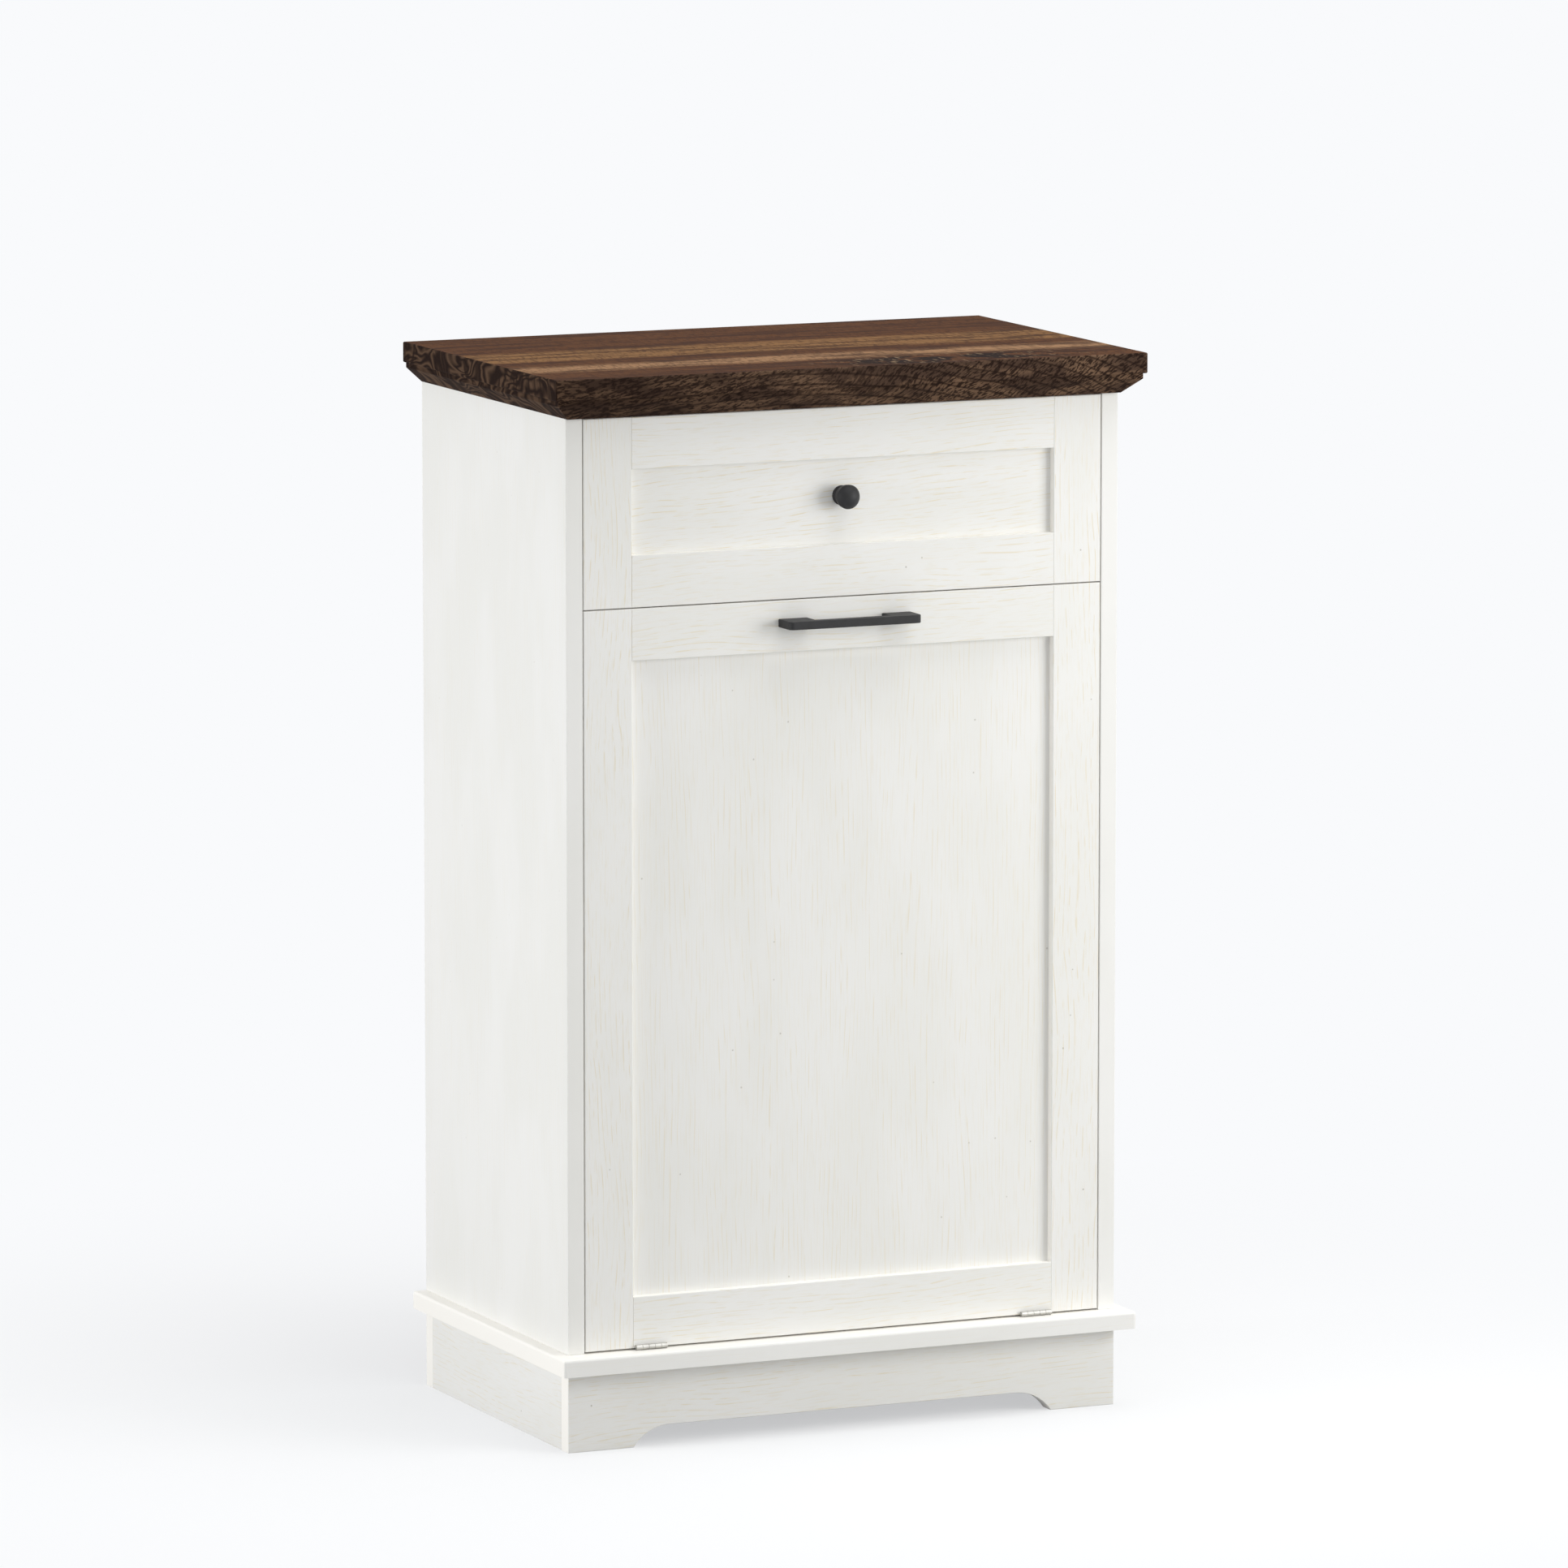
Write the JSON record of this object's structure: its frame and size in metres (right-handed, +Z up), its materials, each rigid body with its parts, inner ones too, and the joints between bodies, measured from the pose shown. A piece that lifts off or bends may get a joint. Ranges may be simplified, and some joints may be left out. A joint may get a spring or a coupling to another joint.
{
  "type": "tilt-out trash cabinet",
  "caption": "White framed kitchen cabinet with a walnut top, a drawer, and a tilt-out door that carries a crate for a waste bin.",
  "frame": {"origin": "on the floor, under the centre of the overall footprint (handle's reach included)", "axes": "+Z up, the front with door and drawer faces -Y, the cabinet's left side is at -X"},
  "size_m": [0.545, 0.3426, 0.913],
  "materials": {
    "white_wood": "whitewashed wood-grain foil on board, matt",
    "walnut": "dark walnut-grain foil on board, matt",
    "hardboard": "hardboard, lacquered white on its inner side",
    "black_metal": "matt black powder coat",
    "nickel_steel": "nickel-plated steel",
    "zinc_steel": "bright zinc-plated steel",
    "ball_steel": "polished ball steel",
    "white_plastic": "moulded plastic case"
  },
  "bodies": {
    "cabinet": {"plinth_front": "white_wood", "plinth_left": "white_wood", "plinth_right": "white_wood", "plinth_back": "white_wood", "base_board": "white_wood", "side_panel_left": "white_wood", "side_panel_right": "white_wood", "back_panel": "hardboard", "divider_shelf": "white_wood", "top_rail_front": "white_wood", "top_rail_back": "white_wood", "top_board": "walnut", "top_moulding_front": "walnut", "top_moulding_left": "walnut", "top_moulding_right": "walnut", "slide_outer_left": "zinc_steel", "slide_outer_right": "zinc_steel", "hinge_leaf_base_left": "nickel_steel", "hinge_leaf_base_right": "nickel_steel", "hinge_pin_left": "nickel_steel", "hinge_pin_right": "nickel_steel", "stay_pin_left": "zinc_steel", "stay_pin_right": "zinc_steel", "magnetic_catch": "white_plastic"},
    "door": {"door_stile_left": "white_wood", "door_stile_right": "white_wood", "door_rail_top": "white_wood", "door_rail_bottom": "white_wood", "door_panel": "white_wood", "door_handle": "black_metal", "hinge_leaf_door_left": "nickel_steel", "hinge_leaf_door_right": "nickel_steel", "bin_side_left": "white_wood", "bin_side_right": "white_wood", "bin_floor": "white_wood", "bin_back_board": "white_wood", "bin_back_rail": "white_wood", "stay_quadrant_left": "zinc_steel", "stay_quadrant_right": "zinc_steel", "strike_plate": "zinc_steel"},
    "drawer": {"drawer_stile_left": "white_wood", "drawer_stile_right": "white_wood", "drawer_rail_top": "white_wood", "drawer_rail_bottom": "white_wood", "drawer_panel": "white_wood", "drawer_knob": "black_metal", "drawer_side_left": "white_wood", "drawer_side_right": "white_wood", "drawer_box_front": "white_wood", "drawer_back": "white_wood", "drawer_bottom": "hardboard", "slide_inner_left": "zinc_steel", "slide_inner_right": "zinc_steel"},
    "ball_cages": {"slide_cage_left": "zinc_steel", "slide_cage_right": "zinc_steel", "slide_balls": "ball_steel"}
  },
  "joints": [
    {"name": "door_tilt", "type": "hinge", "parent": "cabinet", "child": "door", "pos_m": [0, -0.1493, 0.08655], "axis": [1, 0, 0], "range_deg": [0, 35]},
    {"name": "drawer_slide", "type": "slide", "parent": "cabinet", "child": "drawer", "axis": [0, -1, 0], "range_m": [0, 0.17]},
    {"name": "cage_roll", "type": "slide", "parent": "cabinet", "child": "ball_cages", "axis": [0, -1, 0], "range_m": [0, 0.085]}
  ],
  "couplings": [
    {"joint": "cage_roll", "follows": "drawer_slide", "ratio": 0.5}
  ]
}
